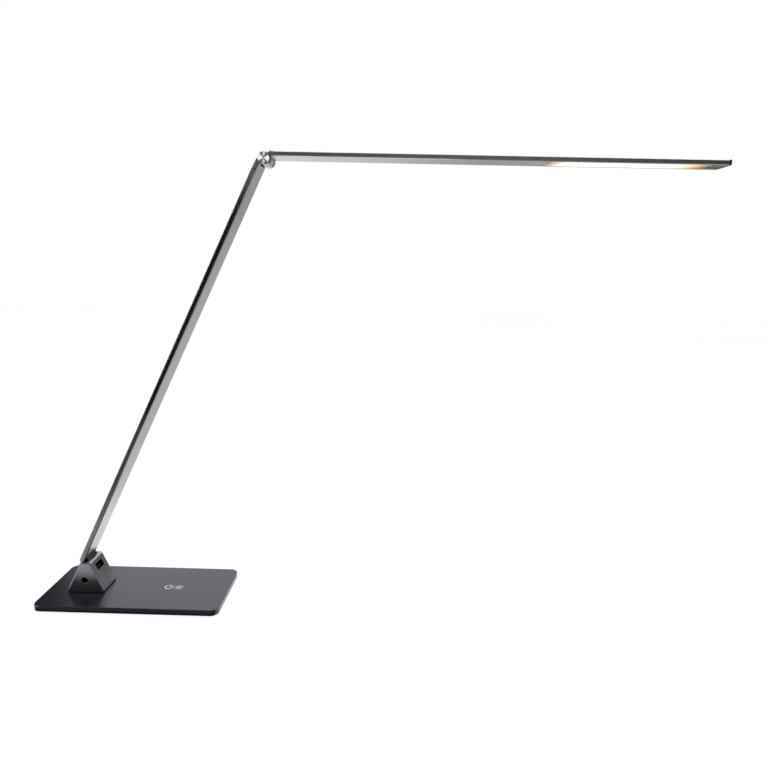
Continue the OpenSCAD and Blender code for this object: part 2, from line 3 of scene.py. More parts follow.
import bpy
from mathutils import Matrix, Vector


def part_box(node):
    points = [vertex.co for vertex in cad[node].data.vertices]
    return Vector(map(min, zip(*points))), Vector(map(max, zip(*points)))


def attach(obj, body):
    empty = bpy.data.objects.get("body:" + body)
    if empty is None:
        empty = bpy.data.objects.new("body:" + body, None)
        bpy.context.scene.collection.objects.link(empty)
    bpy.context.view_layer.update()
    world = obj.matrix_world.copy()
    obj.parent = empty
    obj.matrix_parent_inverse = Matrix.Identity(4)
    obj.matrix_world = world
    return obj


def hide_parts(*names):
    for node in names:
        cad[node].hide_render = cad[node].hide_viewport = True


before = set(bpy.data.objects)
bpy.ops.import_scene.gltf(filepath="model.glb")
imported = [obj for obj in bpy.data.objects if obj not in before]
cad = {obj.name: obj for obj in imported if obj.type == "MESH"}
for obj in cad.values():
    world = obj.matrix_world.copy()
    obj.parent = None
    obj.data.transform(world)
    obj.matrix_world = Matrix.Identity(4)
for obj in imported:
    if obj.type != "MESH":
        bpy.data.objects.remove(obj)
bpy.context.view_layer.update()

bpy.ops.object.select_all(action="DESELECT")

# ---- Camera ----
# A short lens a little above mid-height, in front of the lamp and left of its tip. It looks
# down by ten degrees and is rolled by about one, as a camera held by hand is.

eye = (0.25301, -0.64576, 0.33632)
down, left, roll = 9.92, 0.721, 1.245  # degrees
bpy.ops.object.camera_add(location=eye)
camera = bpy.context.object
camera.name = "camera"
camera.data.lens = 31.77
camera.rotation_euler = (radians(90 - down), 0, radians(left))
camera.rotation_euler.rotate_axis("Z", radians(roll))
bpy.context.scene.camera = camera

# ---- Studio floor and backdrop ----
# A white table with a white surround. The floor is plain matt white that takes the lamp's
# soft shadow, and what the lens and polished metal see of it is lifted to paper white.

bpy.context.scene.view_settings.view_transform = "Standard"
table_size, table_middle = 9, (0.3, 0, 0)
table_white = 0.9
lifted_white, lifted_share = 1.1, 0.8
surround_lights, surround_seen = 0.62, 1.0


def seen_directly(tree):
    """1 for camera, glossy and transmission rays, and 0 for the light that falls on things."""
    path = tree.nodes.new("ShaderNodeLightPath")
    total = None
    for ray in ("Is Camera Ray", "Is Glossy Ray", "Is Transmission Ray"):
        if total is None:
            total = path.outputs[ray]
            continue
        add = tree.nodes.new("ShaderNodeMath")
        add.operation = "ADD"
        add.use_clamp = True
        tree.links.new(total, add.inputs[0])
        tree.links.new(path.outputs[ray], add.inputs[1])
        total = add.outputs[0]
    return total


bpy.ops.mesh.primitive_plane_add(size=table_size, location=table_middle)
floor = bpy.context.object
floor.name = "floor"
white = bpy.data.materials.new("floor_white")
white.use_nodes = True
tree = white.node_tree
paper = tree.nodes["Principled BSDF"]
paper.inputs["Base Color"].default_value = (table_white, table_white, table_white, 1)
paper.inputs["Roughness"].default_value = 0.9
paper.inputs["Specular IOR Level"].default_value = 0.1
lift = tree.nodes.new("ShaderNodeEmission")
lift.inputs["Strength"].default_value = lifted_white
share = tree.nodes.new("ShaderNodeMath")
share.operation = "MULTIPLY"
share.inputs[1].default_value = lifted_share
blend = tree.nodes.new("ShaderNodeMixShader")
tree.links.new(seen_directly(tree), share.inputs[0])
tree.links.new(share.outputs[0], blend.inputs["Fac"])
tree.links.new(paper.outputs["BSDF"], blend.inputs[1])
tree.links.new(lift.outputs["Emission"], blend.inputs[2])
tree.links.new(blend.outputs["Shader"], tree.nodes["Material Output"].inputs["Surface"])
floor.data.materials.append(white)

world = bpy.data.worlds.new("studio")
bpy.context.scene.world = world
world.use_nodes = True
tree = world.node_tree
surround = tree.nodes["Background"]
surround.inputs["Color"].default_value = (1, 1, 1, 1)
level = tree.nodes.new("ShaderNodeMapRange")
level.inputs["To Min"].default_value = surround_lights
level.inputs["To Max"].default_value = surround_seen
tree.links.new(seen_directly(tree), level.inputs["Value"])
tree.links.new(level.outputs["Result"], surround.inputs["Strength"])

# ---- Studio flags ----
# Cards round the set, which only polished surfaces see. In front of the lamp they lie in steps
# from pale to black, then stand and hang above it, and others lie or stand behind. The elbow's
# turned caps gleam with a lit strip overhead and a lit card at the left.


def card_finish(name, shade, lit=0):
    """Matt card of one shade, or one lit from inside."""
    made = bpy.data.materials.new(name)
    made.use_nodes = True
    shader = made.node_tree.nodes["Principled BSDF"]
    shader.inputs["Base Color"].default_value = (shade, shade, shade, 1)
    shader.inputs["Roughness"].default_value = 0.95
    shader.inputs["Specular IOR Level"].default_value = 0.0
    shader.inputs["Emission Color"].default_value = (1, 1, 1, 1)
    shader.inputs["Emission Strength"].default_value = lit
    return made


def flag(name, finish, start, end, *folds):
    """A card whose first edge, a sliver wide, runs from start to end. Each fold carries its last
    edge on by (x, y, z)."""
    bpy.ops.mesh.primitive_plane_add(size=1, location=[(a + b) / 2 for a, b in zip(start, end)])
    card = bpy.context.object
    card.name = name
    sliver = 0.0001
    card.scale = (dist(start, end), sliver, 1)
    card.rotation_euler = (0, 0, atan2(end[1] - start[1], end[0] - start[0]))
    bpy.ops.object.transform_apply(location=True, rotation=True, scale=True)
    for fold in folds:
        bpy.ops.object.mode_set(mode="EDIT")
        bpy.ops.mesh.extrude_region_move(TRANSFORM_OT_translate={"value": fold})
        bpy.ops.object.mode_set(mode="OBJECT")
    card.data.materials.append(finish)
    for ray in ("camera", "diffuse", "shadow", "transmission", "volume_scatter"):
        setattr(card, "visible_" + ray, False)
    card.select_set(False)


card_black = card_finish("card_black", 0.025)
card_shade = card_finish("card_shade", 0.08)
card_dark = card_finish("card_dark", 0.13)
card_dim = card_finish("card_dim", 0.24)
card_mid = card_finish("card_mid", 0.32)
card_grey = card_finish("card_grey", 0.45)
card_soft = card_finish("card_soft", 0.65)
card_pale = card_finish("card_pale", 0.9)
card_light = card_finish("card_light", 0.8, 1.9)

# The cards that lie in front: the ends of each, its edge nearer to the lamp and its depth.
# The black card against the base's front edge is painted shade: the contact shadow there, as the base's front
# face reflects it.
lying, overlap = 0.001, 0.0003
for name, finish, left_end, right_end, near_edge, depth in (
    ("flag_contact_shade", card_black, -0.5, 0.6, -0.0445, 0.004),
    ("flag_near_a", card_dim, -0.5, 0.13, -0.0485, 0.0195),
    ("flag_near_b", card_soft, -0.5, 0.03, -0.068, 0.042),
    ("flag_near_pale", card_pale, 0.03, 0.13, -0.068, 0.042),
    ("flag_near_c", card_grey, -0.5, 0.13, -0.11, 0.11),
    ("flag_near_d", card_dim, -0.9, 0.13, -0.22, 0.12),
    ("flag_near_e", card_dark, -0.9, 0.13, -0.34, 0.46),
    ("flag_near_right", card_grey, 0.13, 0.34, -0.0485, 0.17),
    ("flag_near_strip", card_soft, 0.13, 0.34, -0.068, 0.042),
    ("flag_near_end", card_dim, 0.34, 0.9, -0.0485, 0.17),
):
    height = lying + overlap if name == "flag_near_strip" else lying  # it lies on the one before
    flag(name, finish, (left_end, near_edge, height), (right_end, near_edge, height), (0, -depth, 0))
flag("flag_front", card_black, (0.13, -0.2185, lying), (3.4, -0.2185, lying), (0, -1.8, 0), (0, -0.08, 0.5))
flag("flag_front_left", card_black, (-1.8, -0.8, lying), (0.13, -0.8, lying), (0, -1.22, 0), (0, -0.08, 0.64))

# The wall beyond them, leaning back a little, from left to right.
wall = -2.1
for name, finish, left_end, right_end, foot, rise in (
    ("flag_wall_far", card_dark, -1.9, -0.37, 0.6, 2.0),
    ("flag_wall_left", card_shade, -0.32, 0.1, 0.5, 2.1),
    ("flag_wall", card_mid, 0.1, 1.3, 0.5, 2.1),
    ("flag_wall_right", card_shade, 1.3, 3.4, 0.5, 2.1),
):
    flag(name, finish, (left_end, wall, foot), (right_end, wall, foot), (0, -0.3, rise))
flag("flag_above", card_black, (-1.9, -2.4, 2.6), (3.4, -2.4, 2.6), (0, 2.2, 0))
flag("strip_above", card_light, (-0.35, -1.9, 2.5), (0.1, -1.9, 2.5), (0, 1.2, 0))
flag("light_left", card_light, (-2.3, -2.2, 0.05), (-2.9, 0.3, 0.05), (0, 0, 2.2))
flag("flag_back", card_pale, (-0.6, 5.0, lying), (1.6, 3.1, lying), (0, 0, 1.6))
flag("flag_left", card_black, (-0.8, 1.52, 0), (-2.4, -0.4, 0), (0, 0, 2.2))
flag("flag_rear", card_grey, (-0.02, 0.13, lying), (0.55, 0.42, lying), (1.2, 5.6, 0))
flag("flag_right", card_black, (0.55, 0.45, lying), (3.0, 0.3, lying), (0.9, 2.6, 0), (0, 0, 0.65))

# ---- Studio lamps ----
# Two large soft boxes above and behind the lamp, so that its front edges stay dark and its
# upper faces and the floor are lit evenly.

for name, place, tip_back, tip_in, size, power in (
    ("soft_box_left", (-0.9, 0.9, 1.9), -20, -26, 1.2, 14),
    ("soft_box_right", (1.1, 0.7, 1.8), -17, 23, 1.0, 8),
):
    lean = (radians(tip_back), radians(tip_in), 0)
    bpy.ops.object.light_add(type="AREA", location=place, rotation=lean)
    lamp = bpy.context.object
    lamp.name = name
    lamp.data.shape = "SQUARE"
    lamp.data.size = size
    lamp.data.energy = power
    lamp.visible_glossy = False
    lamp.select_set(False)

# ---- Base cover ----
# A shallow steel cover, pressed with round corners and an eased top edge, and powder-coated
# satin black. It closes over the weight plate, and its front and side edges stay straight.


def surface(name, colour, metallic, rough, grain, turn=(0, 0, 0), tone=0.1, bump=0.1, lay=None, **sockets):
    """A finish whose tone, gloss and relief vary with a fine grain and with broad, faint handling
    marks. rough is its smoothest and roughest; grain is how many grains lie in a metre along each
    axis, after a turn; lay is the direction in which the metal was brushed; sockets are the
    shader's own, with _ for a space."""
    made = bpy.data.materials.new(name)
    made.use_nodes = True
    tree = made.node_tree
    shader = tree.nodes["Principled BSDF"]
    shader.inputs["Metallic"].default_value = metallic
    for socket, value in sockets.items():
        shader.inputs[socket.replace("_", " ")].default_value = value
    place = tree.nodes.new("ShaderNodeTexCoord")
    grain_place = tree.nodes.new("ShaderNodeMapping")
    grain_place.vector_type = "TEXTURE"
    grain_place.inputs["Rotation"].default_value = turn
    grain_place.inputs["Scale"].default_value = [1 / g for g in grain]
    tree.links.new(place.outputs["Object"], grain_place.inputs["Vector"])
    fine = tree.nodes.new("ShaderNodeTexNoise")
    fine.inputs["Scale"].default_value = 1
    fine.inputs["Detail"].default_value = 4
    tree.links.new(grain_place.outputs["Vector"], fine.inputs["Vector"])
    wide = tree.nodes.new("ShaderNodeTexNoise")
    wide.inputs["Scale"].default_value = 22
    wide.inputs["Detail"].default_value = 2
    tree.links.new(place.outputs["Object"], wide.inputs["Vector"])
    both = tree.nodes.new("ShaderNodeMath")
    both.operation = "ADD"
    tree.links.new(fine.outputs["Fac"], both.inputs[0])
    tree.links.new(wide.outputs["Fac"], both.inputs[1])

    # The two noises add up to about 1, give or take a third.
    ramp = tree.nodes.new("ShaderNodeMapRange")
    ramp.inputs["From Min"].default_value = 0.65
    ramp.inputs["From Max"].default_value = 1.35
    tree.links.new(both.outputs[0], ramp.inputs["Value"])
    gloss = tree.nodes.new("ShaderNodeMapRange")
    gloss.inputs["To Min"].default_value = rough[0]
    gloss.inputs["To Max"].default_value = rough[1]
    tree.links.new(ramp.outputs["Result"], gloss.inputs["Value"])
    tree.links.new(gloss.outputs["Result"], shader.inputs["Roughness"])
    shade = tree.nodes.new("ShaderNodeValToRGB")
    shade.color_ramp.elements[0].color = [c * (1 - tone) for c in colour] + [1]
    shade.color_ramp.elements[1].color = [min(1, c * (1 + tone)) for c in colour] + [1]
    tree.links.new(ramp.outputs["Result"], shade.inputs["Fac"])
    tree.links.new(shade.outputs["Color"], shader.inputs["Base Color"])
    relief = tree.nodes.new("ShaderNodeBump")
    relief.inputs["Strength"].default_value = bump
    relief.inputs["Distance"].default_value = 0.0002
    tree.links.new(fine.outputs["Fac"], relief.inputs["Height"])
    tree.links.new(relief.outputs["Normal"], shader.inputs["Normal"])
    if lay:
        run = tree.nodes.new("ShaderNodeVectorTransform")
        run.vector_type = "VECTOR"
        run.convert_from = "OBJECT"
        run.convert_to = "WORLD"
        run.inputs["Vector"].default_value = lay
        tree.links.new(run.outputs["Vector"], shader.inputs["Tangent"])
        shader.inputs["Anisotropic Rotation"].default_value = 0.25
    return made


def choose(piece, kind, test):
    """Goes into edit mode with the faces selected whose middle and normal pass the test, or the
    edges whose middle and run do."""
    bpy.ops.object.mode_set(mode="OBJECT")
    bpy.ops.object.select_all(action="DESELECT")
    piece.select_set(True)
    bpy.context.view_layer.objects.active = piece
    mesh = piece.data
    for items in (mesh.vertices, mesh.edges, mesh.polygons):
        items.foreach_set("select", [False] * len(items))
    if kind == "FACE":
        for face in mesh.polygons:
            face.select = bool(test(face.center, face.normal))
    else:
        for edge in mesh.edges:
            a, b = (mesh.vertices[v].co for v in edge.vertices)
            edge.select = bool(test((a + b) / 2, (b - a).normalized()))
    bpy.context.tool_settings.mesh_select_mode = (False, kind == "EDGE", kind == "FACE")
    bpy.ops.object.mode_set(mode="EDIT")


def settle(piece, name, body, slot, finishes, *stands_for):
    """Finishes a piece: its place goes into its mesh, its flat faces stay crisp, it takes its
    finishes and it rides on its body."""
    bpy.ops.object.mode_set(mode="OBJECT")
    bpy.ops.object.select_all(action="DESELECT")
    piece.select_set(True)
    bpy.context.view_layer.objects.active = piece
    bpy.ops.object.transform_apply(location=True, rotation=True, scale=True)
    choose(piece, "FACE", lambda middle, normal: True)
    bpy.ops.mesh.dissolve_degenerate(threshold=2e-6)
    bpy.ops.object.mode_set(mode="OBJECT")
    bpy.ops.object.shade_smooth_by_angle(angle=radians(30))
    flat = piece.modifiers.new("flat", "WEIGHTED_NORMAL")
    flat.weight = 100
    flat.keep_sharp = True
    bpy.ops.object.modifier_apply(modifier="flat")
    piece.name = piece.data.name = name
    marks = [face.material_index for face in piece.data.polygons]
    piece.data.materials.clear()
    for finish in finishes:
        piece.data.materials.append(finish)
    piece.data.polygons.foreach_set("material_index", marks)
    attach(piece, body)
    if stands_for:
        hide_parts(*stands_for)
    piece.select_set(False)


def upright(piece, operation, radius, x, y, bottom, top, sides=32):
    """Adds an upright round post to a piece, or takes an upright round hole out of it."""
    bpy.ops.object.select_all(action="DESELECT")
    place = (x, y, (bottom + top) / 2)
    bpy.ops.mesh.primitive_cylinder_add(vertices=sides, radius=radius, depth=top - bottom, location=place)
    tool = bpy.context.object
    tool.select_set(False)
    bpy.context.view_layer.objects.active = piece
    change = piece.modifiers.new("upright", "BOOLEAN")
    change.operation = operation
    change.object = tool
    bpy.ops.object.modifier_apply(modifier="upright")
    bpy.data.objects.remove(tool)


powder_coat = surface(
    "powder_coat", (0.0088, 0.0078, 0.0105), 0, (0.18, 0.25), (2600, 2600, 2600), tone=0.25,
    IOR=1.79, Specular_Tint=(0.88, 0.8, 1.0, 1)
)
corner, top_edge, wall_thickness, hollow = 0.008, 0.0009, 0.001, 0.0047
post_x, post_y, post_foot, post_radius = 0.078, 0.0335, 0.0016, 0.003
bore_foot, bore_top, bore_radius = 0.0014, 0.0055, 0.00125
low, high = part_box("base_cover")
size = [b - a for a, b in zip(low, high)]
bpy.ops.mesh.primitive_cube_add(size=1, location=[(a + b) / 2 for a, b in zip(low, high)], scale=size)
cover = bpy.context.object
bpy.ops.object.transform_apply(location=True, rotation=True, scale=True)
choose(cover, "EDGE", lambda middle, run: abs(run.z) > 0.9)
bpy.ops.mesh.bevel(offset=corner, segments=14, affect="EDGES")
choose(cover, "EDGE", lambda middle, run: middle.z > high[2] - 1e-5)
bpy.ops.mesh.bevel(offset=top_edge, segments=5, affect="EDGES")
choose(cover, "FACE", lambda middle, normal: normal.z < -0.9)
bpy.ops.mesh.inset(thickness=wall_thickness)
bpy.ops.mesh.extrude_region_move(TRANSFORM_OT_translate={"value": (0, 0, hollow)})
bpy.ops.object.mode_set(mode="OBJECT")

# The posts that the bottom sheet is screwed to reach into the roof.
for x in (-post_x, post_x):
    for y in (-post_y, post_y):
        upright(cover, "UNION", post_radius, x, y, post_foot, 0.0061)
        upright(cover, "DIFFERENCE", bore_radius, x, y, bore_foot, bore_top)

# Under the block, two holes for its screws and one for the lead.
for x, y, radius in ((-0.0632, 0, 0.0016), (-0.0368, 0, 0.0016), (-0.044, 0.008, 0.002)):
    upright(cover, "DIFFERENCE", radius, x, y, 0.005, 0.007)
settle(cover, "base_cover.coated", "base", "base_paint", [powder_coat], "base_cover")

# ---- Touch mark ----
# The key under the cover is found by two small signs printed in pale grey on the paint: the
# usual ring and stroke for power, and a ring with rays for brightness.

print_grey = surface(
    "print_grey", (0.78, 0.77, 0.8), 0, (0.45, 0.6), (900, 900, 900), tone=0.12, bump=0.05
)
print_foot, ink = high[2] + 0.00001, 0.00003
power_x, power_radius, power_line, power_stroke = 0.0287, 0.0042, 0.0011, 0.0042
sun_x, sun_radius, sun_line = 0.0388, 0.0026, 0.001
ray_count, ray_reach, ray_length, ray_width = 8, 0.0042, 0.0015, 0.0008
signs = []


def ring(x, outer, width, gap=0):
    """A flat printed ring, open at the back by twice the gap, in radians."""
    place = (x, 0, print_foot)
    bpy.ops.mesh.primitive_circle_add(vertices=56, radius=outer, fill_type="NGON", location=place)
    piece = bpy.context.object
    bpy.ops.object.transform_apply(location=True, rotation=False, scale=False)
    choose(piece, "FACE", lambda middle, normal: True)
    bpy.ops.mesh.inset(thickness=width)
    bpy.ops.mesh.delete(type="FACE")
    if gap:
        choose(piece, "FACE", lambda middle, normal: abs(atan2(middle.x - x, middle.y)) < gap)
        bpy.ops.mesh.delete(type="FACE")
    choose(piece, "FACE", lambda middle, normal: True)
    bpy.ops.mesh.extrude_region_move(TRANSFORM_OT_translate={"value": (0, 0, ink)})
    bpy.ops.object.mode_set(mode="OBJECT")
    signs.append(piece)


def stroke(length, width):
    """A stroke of print along X with round ends, before it is laid."""
    bpy.ops.mesh.primitive_cube_add(size=1, scale=(length, width, ink))
    piece = bpy.context.object
    bpy.ops.object.transform_apply(location=False, rotation=False, scale=True)
    choose(piece, "EDGE", lambda middle, run: abs(run.z) > 0.9)
    bpy.ops.mesh.bevel(offset=width * 0.48, segments=4, affect="EDGES")
    bpy.ops.object.mode_set(mode="OBJECT")
    return piece


def lay_stroke(piece, x, y, angle):
    """Lays a stroke on the paint, turned by an angle from the X axis."""
    bpy.ops.object.select_all(action="DESELECT")
    piece.select_set(True)
    bpy.context.view_layer.objects.active = piece
    piece.rotation_euler = (0, 0, angle)
    piece.location = (x, y, print_foot + ink / 2)
    bpy.ops.object.transform_apply(location=True, rotation=True, scale=True)
    signs.append(piece)


ring(power_x, power_radius, power_line, gap=0.55)
lay_stroke(stroke(power_stroke, power_line), power_x, 0.0032, pi / 2)
ring(sun_x, sun_radius, sun_line)
rays = [stroke(ray_length, ray_width)]
for copy in range(ray_count - 1):
    bpy.ops.object.duplicate(linked=False)
    rays.append(bpy.context.object)
for number, ray in enumerate(rays):
    turn = (number + 0.5) * 2 * pi / ray_count
    lay_stroke(ray, sun_x + ray_reach * cos(turn), ray_reach * sin(turn), turn)
for piece in signs:
    piece.select_set(True)
bpy.context.view_layer.objects.active = signs[0]
bpy.ops.object.join()
settle(signs[0], "touch_mark", "base", "usb_insulator", [print_grey])

# ---- Base, inside and underneath ----
# A steel plate gives the base its weight, a thin sheet closes it, four countersunk screws
# hold the sheet, and a rubber mat is glued over them.


def coat(finish, *names):
    """Gives a finish to nodes whose own shape stays."""
    for name in names:
        for holder in cad[name].material_slots:
            holder.material = finish


mill_steel = surface("mill_steel", (0.42, 0.42, 0.43), 1, (0.35, 0.55), (60, 900, 900), Anisotropic=0.3)
sheet_black = surface("sheet_black", (0.03, 0.03, 0.032), 0, (0.4, 0.55), (1500, 1500, 1500))
mat_rubber = surface(
    "mat_rubber", (0.022, 0.022, 0.023), 0, (0.75, 0.95), (1400, 1400, 1400), tone=0.3, bump=0.6
)
zinc = surface("zinc", (0.52, 0.53, 0.54), 1, (0.25, 0.4), (700, 700, 700), tone=0.15)
coat(mill_steel, "weight_plate")
coat(sheet_black, "bottom_cover")
coat(mat_rubber, "rest_pad", "block_gasket")
coat(zinc, "cover_screws", "block_screws", "knuckle_screws", "elbow_nut")
coat(zinc, "fork_screws", "elbow_fork_screws", "elbow_tongue_screws")

# ---- Electronics in the base and the block ----
# Glass-fibre boards with their moulded parts, the touch key's conductive foam, and the thin
# insulated leads that join them.

board_green = surface("board_green", (0.02, 0.13, 0.06), 0, (0.3, 0.4), (320, 2200, 900), tone=0.35)
moulded_black = surface("moulded_black", (0.018, 0.018, 0.02), 0, (0.35, 0.5), (2500, 2500, 2500))
foam_grey = surface("foam_grey", (0.05, 0.05, 0.05), 0, (0.85, 1.0), (900, 900, 900), tone=0.5, bump=0.8)
lead_red = surface("lead_red", (0.45, 0.03, 0.025), 0, (0.4, 0.5), (500, 500, 500))
lead_black = surface("lead_black", (0.02, 0.02, 0.02), 0, (0.4, 0.5), (500, 500, 500))
coat(board_green, "touch_board", "control_board")
coat(moulded_black, "board_parts")
coat(foam_grey, "touch_foam")
coat(lead_red, "base_lead", "riser_lead")
coat(lead_black, "lower_lead", "upper_lead")

# ---- Hinge block ----
# A tent-shaped zinc casting on a rubber gasket, painted satin gunmetal. Its edges are eased
# in the mould. The eased strips and the faces that lean between front or back and flanks are
# painted darker as shade, which dulls their highlights.


def dressed(node, name, body, slot, finishes, ease, pick=lambda face: face.material_index):
    """The node's own form with its sharp edges eased. The eased strips take the second finish,
    unless pick gives the number of each face's finish."""
    piece = bpy.data.objects.new(name, cad[node].data.copy())
    bpy.context.scene.collection.objects.link(piece)
    choose(piece, "FACE", lambda middle, normal: True)
    bpy.ops.mesh.remove_doubles(threshold=2e-6)
    bpy.ops.mesh.dissolve_limited(angle_limit=radians(0.6))
    bpy.ops.object.mode_set(mode="OBJECT")
    soft = piece.modifiers.new("ease", "BEVEL")
    soft.width = ease
    soft.segments = 2
    soft.limit_method = "ANGLE"
    soft.angle_limit = radians(30)
    soft.material = 1
    piece.data.materials.clear()
    for finish in finishes:
        piece.data.materials.append(finish)
    bpy.ops.object.modifier_apply(modifier="ease")
    for face in piece.data.polygons:
        face.material_index = min(pick(face), len(finishes) - 1)
    settle(piece, name, body, slot, finishes, node)


def edge_or_side(face):
    """The second finish for what leans between the front or the back and the flanks."""
    return 1 if 0.3 < abs(face.normal.y) < 0.9 else face.material_index


gunmetal = surface("gunmetal", (0.44, 0.45, 0.49), 1, (0.2, 0.28), (2200, 2200, 2200), tone=0.08)
# Painted shade: a darker copy of the gunmetal for the eased edges and the leaning faces.
gunmetal_edge_shade = surface("gunmetal_edge_shade", (0.22, 0.225, 0.245), 1, (0.25, 0.35), (2200, 2200, 2200), tone=0.12)
dressed(
    "hinge_block", "hinge_block.cast", "base", "block_paint", [gunmetal, gunmetal_edge_shade], 0.0004,
    edge_or_side
)

# ---- Charging port and power socket ----
# A pressed receptacle in black nickel, with a black tongue and dulled gilt contacts, and a
# black moulded socket with a plated pin. Both sit in openings of the hinge block.

nickel = surface("nickel", (0.02, 0.02, 0.021), 1, (0.35, 0.5), (1200, 1200, 300), tone=0.1)
insulator = surface(
    "insulator", (0.01, 0.01, 0.011), 0, (0.45, 0.6), (1500, 1500, 1500), Specular_IOR_Level=0.1
)
gilt = surface("gilt", (0.08, 0.065, 0.04), 1, (0.35, 0.5), (900, 900, 900))
pin_plate = surface("pin_plate", (0.4, 0.4, 0.4), 1, (0.3, 0.4), (900, 60, 900))
coat(nickel, "usb_shell")
coat(insulator, "usb_tongue")
coat(gilt, "usb_contacts")
coat(moulded_black, "jack_body")
coat(pin_plate, "jack_pin")

# ---- Base hinge ----
# A zinc knuckle rises through the ridge, painted near black as shade for the gap it sits in.
# The arm's fork straddles it on a ground pin, with a brass washer on each side.

# The knuckle's near black is painted shade for the gap between the fork's cheeks.
knuckle_shade = surface("knuckle_shade", (0.02, 0.021, 0.026), 0.9, (0.25, 0.35), (1800, 1800, 1800), tone=0.2)
ground_steel = surface("ground_steel", (0.6, 0.6, 0.61), 1, (0.15, 0.25), (900, 60, 900))
brass = surface("brass", (0.6, 0.45, 0.18), 1, (0.25, 0.4), (900, 900, 900))
coat(ground_steel, "base_pin", "elbow_pin")
coat(brass, "base_washers", "elbow_washers")
dressed("hinge_knuckle", "hinge_knuckle.cast", "base", "knuckle_metal", [knuckle_shade], 0.0003)

# ---- Lower arm ----
# Extruded aluminium, anodised grey and brushed along its length, then slid over the prongs of
# a die-cast fork at its foot. Its two narrow sides are left smooth and painted darker, as shade.

tilt = radians(65)
up_the_arm = (cos(tilt), 0, sin(tilt))
lower_brushed = surface(
    "lower_brushed", (0.56, 0.56, 0.58), 1, (0.24, 0.34), (14, 2400, 900), turn=(0, -tilt, 0),
    bump=0.06, lay=up_the_arm, Anisotropic=0.5
)
# A smoother copy of the arm's aluminium whose darker colour is painted shade.
lower_side_shade = surface(
    "lower_side_shade", (0.38, 0.385, 0.41), 1, (0.1, 0.17), (14, 900, 2400), turn=(0, -tilt, 0),
    bump=0.04, lay=up_the_arm, Anisotropic=0.3
)


def side_or_face(face):
    """The second finish for what faces straight to the front or the back."""
    return 1 if abs(face.normal.y) > 0.9 else 0


dressed(
    "lower_fork", "lower_fork.brushed", "lower_arm", "fork_metal", [lower_brushed, lower_side_shade], 0.0002,
    side_or_face
)
dressed(
    "lower_profile", "lower_profile.brushed", "lower_arm", "lower_aluminium",
    [lower_brushed, lower_side_shade], 0.00015, side_or_face
)

# ---- Elbow ----
# The lower arm ends in a fork of the same finish. The upper arm's knuckle turns between its
# lugs on a sunk pin and nut. Bright-plated caps, turned in fine rings, close both ends, and two
# spanner holes are punched in the front one.

low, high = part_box("elbow_cap_front")
elbow = [(a + b) / 2 for a, b in zip(low, high)]
cross_brushed = {"tone": 0.08, "bump": 0.06}
lug_shade = surface("lug_shade", (0.06, 0.06, 0.065), 1, (0.28, 0.4), (1200, 60, 1200), **cross_brushed)
tongue_satin = surface("tongue_satin", (0.5, 0.5, 0.52), 1, (0.28, 0.4), (1200, 60, 1200), **cross_brushed)
tongue_shade = surface("tongue_shade", (0.05, 0.05, 0.055), 1, (0.35, 0.5), (1200, 60, 1200), **cross_brushed)


def fork_finish(face):
    """The shade for what faces the upper arm and for the lugs' inner faces, or else the arm's own."""
    towards_arm = face.normal.x > 0.65 and face.center.x > elbow[0] + 0.002
    inside_lugs = abs(face.normal.y) > 0.9 and abs(face.center.y) < 0.012
    return 2 if towards_arm or inside_lugs else side_or_face(face)


def tongue_finish(face):
    """The shade for what looks back at the elbow from the upper arm."""
    return 1 if face.center.x > elbow[0] + 0.003 and face.normal.x < -0.3 else 0


dressed(
    "elbow_fork", "elbow_fork.brushed", "lower_arm", "elbow_metal",
    [lower_brushed, lower_side_shade, lug_shade], 0.0002, fork_finish
)
dressed(
    "elbow_tongue", "elbow_tongue.satin", "upper_arm", "tongue_metal", [tongue_satin, tongue_shade], 0.0002,
    tongue_finish
)


def turned(name, colour, rough, centre, anisotropy):
    """Bright metal turned on a lathe about an axis along Y: rings of tool marks, and a lustre that
    fans out from the axis."""
    made = surface(name, colour, 1, rough, (1500, 1500, 1500), tone=0.05, Anisotropic=anisotropy)
    tree = made.node_tree
    shader = tree.nodes["Principled BSDF"]
    place = tree.nodes.new("ShaderNodeTexCoord")
    shift = tree.nodes.new("ShaderNodeVectorMath")
    shift.operation = "SUBTRACT"
    shift.inputs[1].default_value = centre
    tree.links.new(place.outputs["Object"], shift.inputs[0])
    flat = tree.nodes.new("ShaderNodeVectorMath")
    flat.operation = "MULTIPLY"
    flat.inputs[1].default_value = (1, 0, 1)
    tree.links.new(shift.outputs["Vector"], flat.inputs[0])
    out = tree.nodes.new("ShaderNodeVectorTransform")
    out.vector_type = "VECTOR"
    out.convert_from = "OBJECT"
    out.convert_to = "WORLD"
    tree.links.new(flat.outputs["Vector"], out.inputs["Vector"])
    tree.links.new(out.outputs["Vector"], shader.inputs["Tangent"])
    shader.inputs["Anisotropic Rotation"].default_value = 0.04
    reach = tree.nodes.new("ShaderNodeVectorMath")
    reach.operation = "LENGTH"
    tree.links.new(flat.outputs["Vector"], reach.inputs[0])
    rings = tree.nodes.new("ShaderNodeTexNoise")
    rings.noise_dimensions = "1D"
    rings.inputs["Scale"].default_value = 9000
    tree.links.new(reach.outputs["Value"], rings.inputs["W"])

    # The rings' relief takes the place of the grain's.
    marks = tree.nodes.new("ShaderNodeBump")
    marks.inputs["Strength"].default_value = 0.08
    marks.inputs["Distance"].default_value = 0.0001
    tree.links.new(rings.outputs["Fac"], marks.inputs["Height"])
    tree.links.new(marks.outputs["Normal"], shader.inputs["Normal"])
    return made


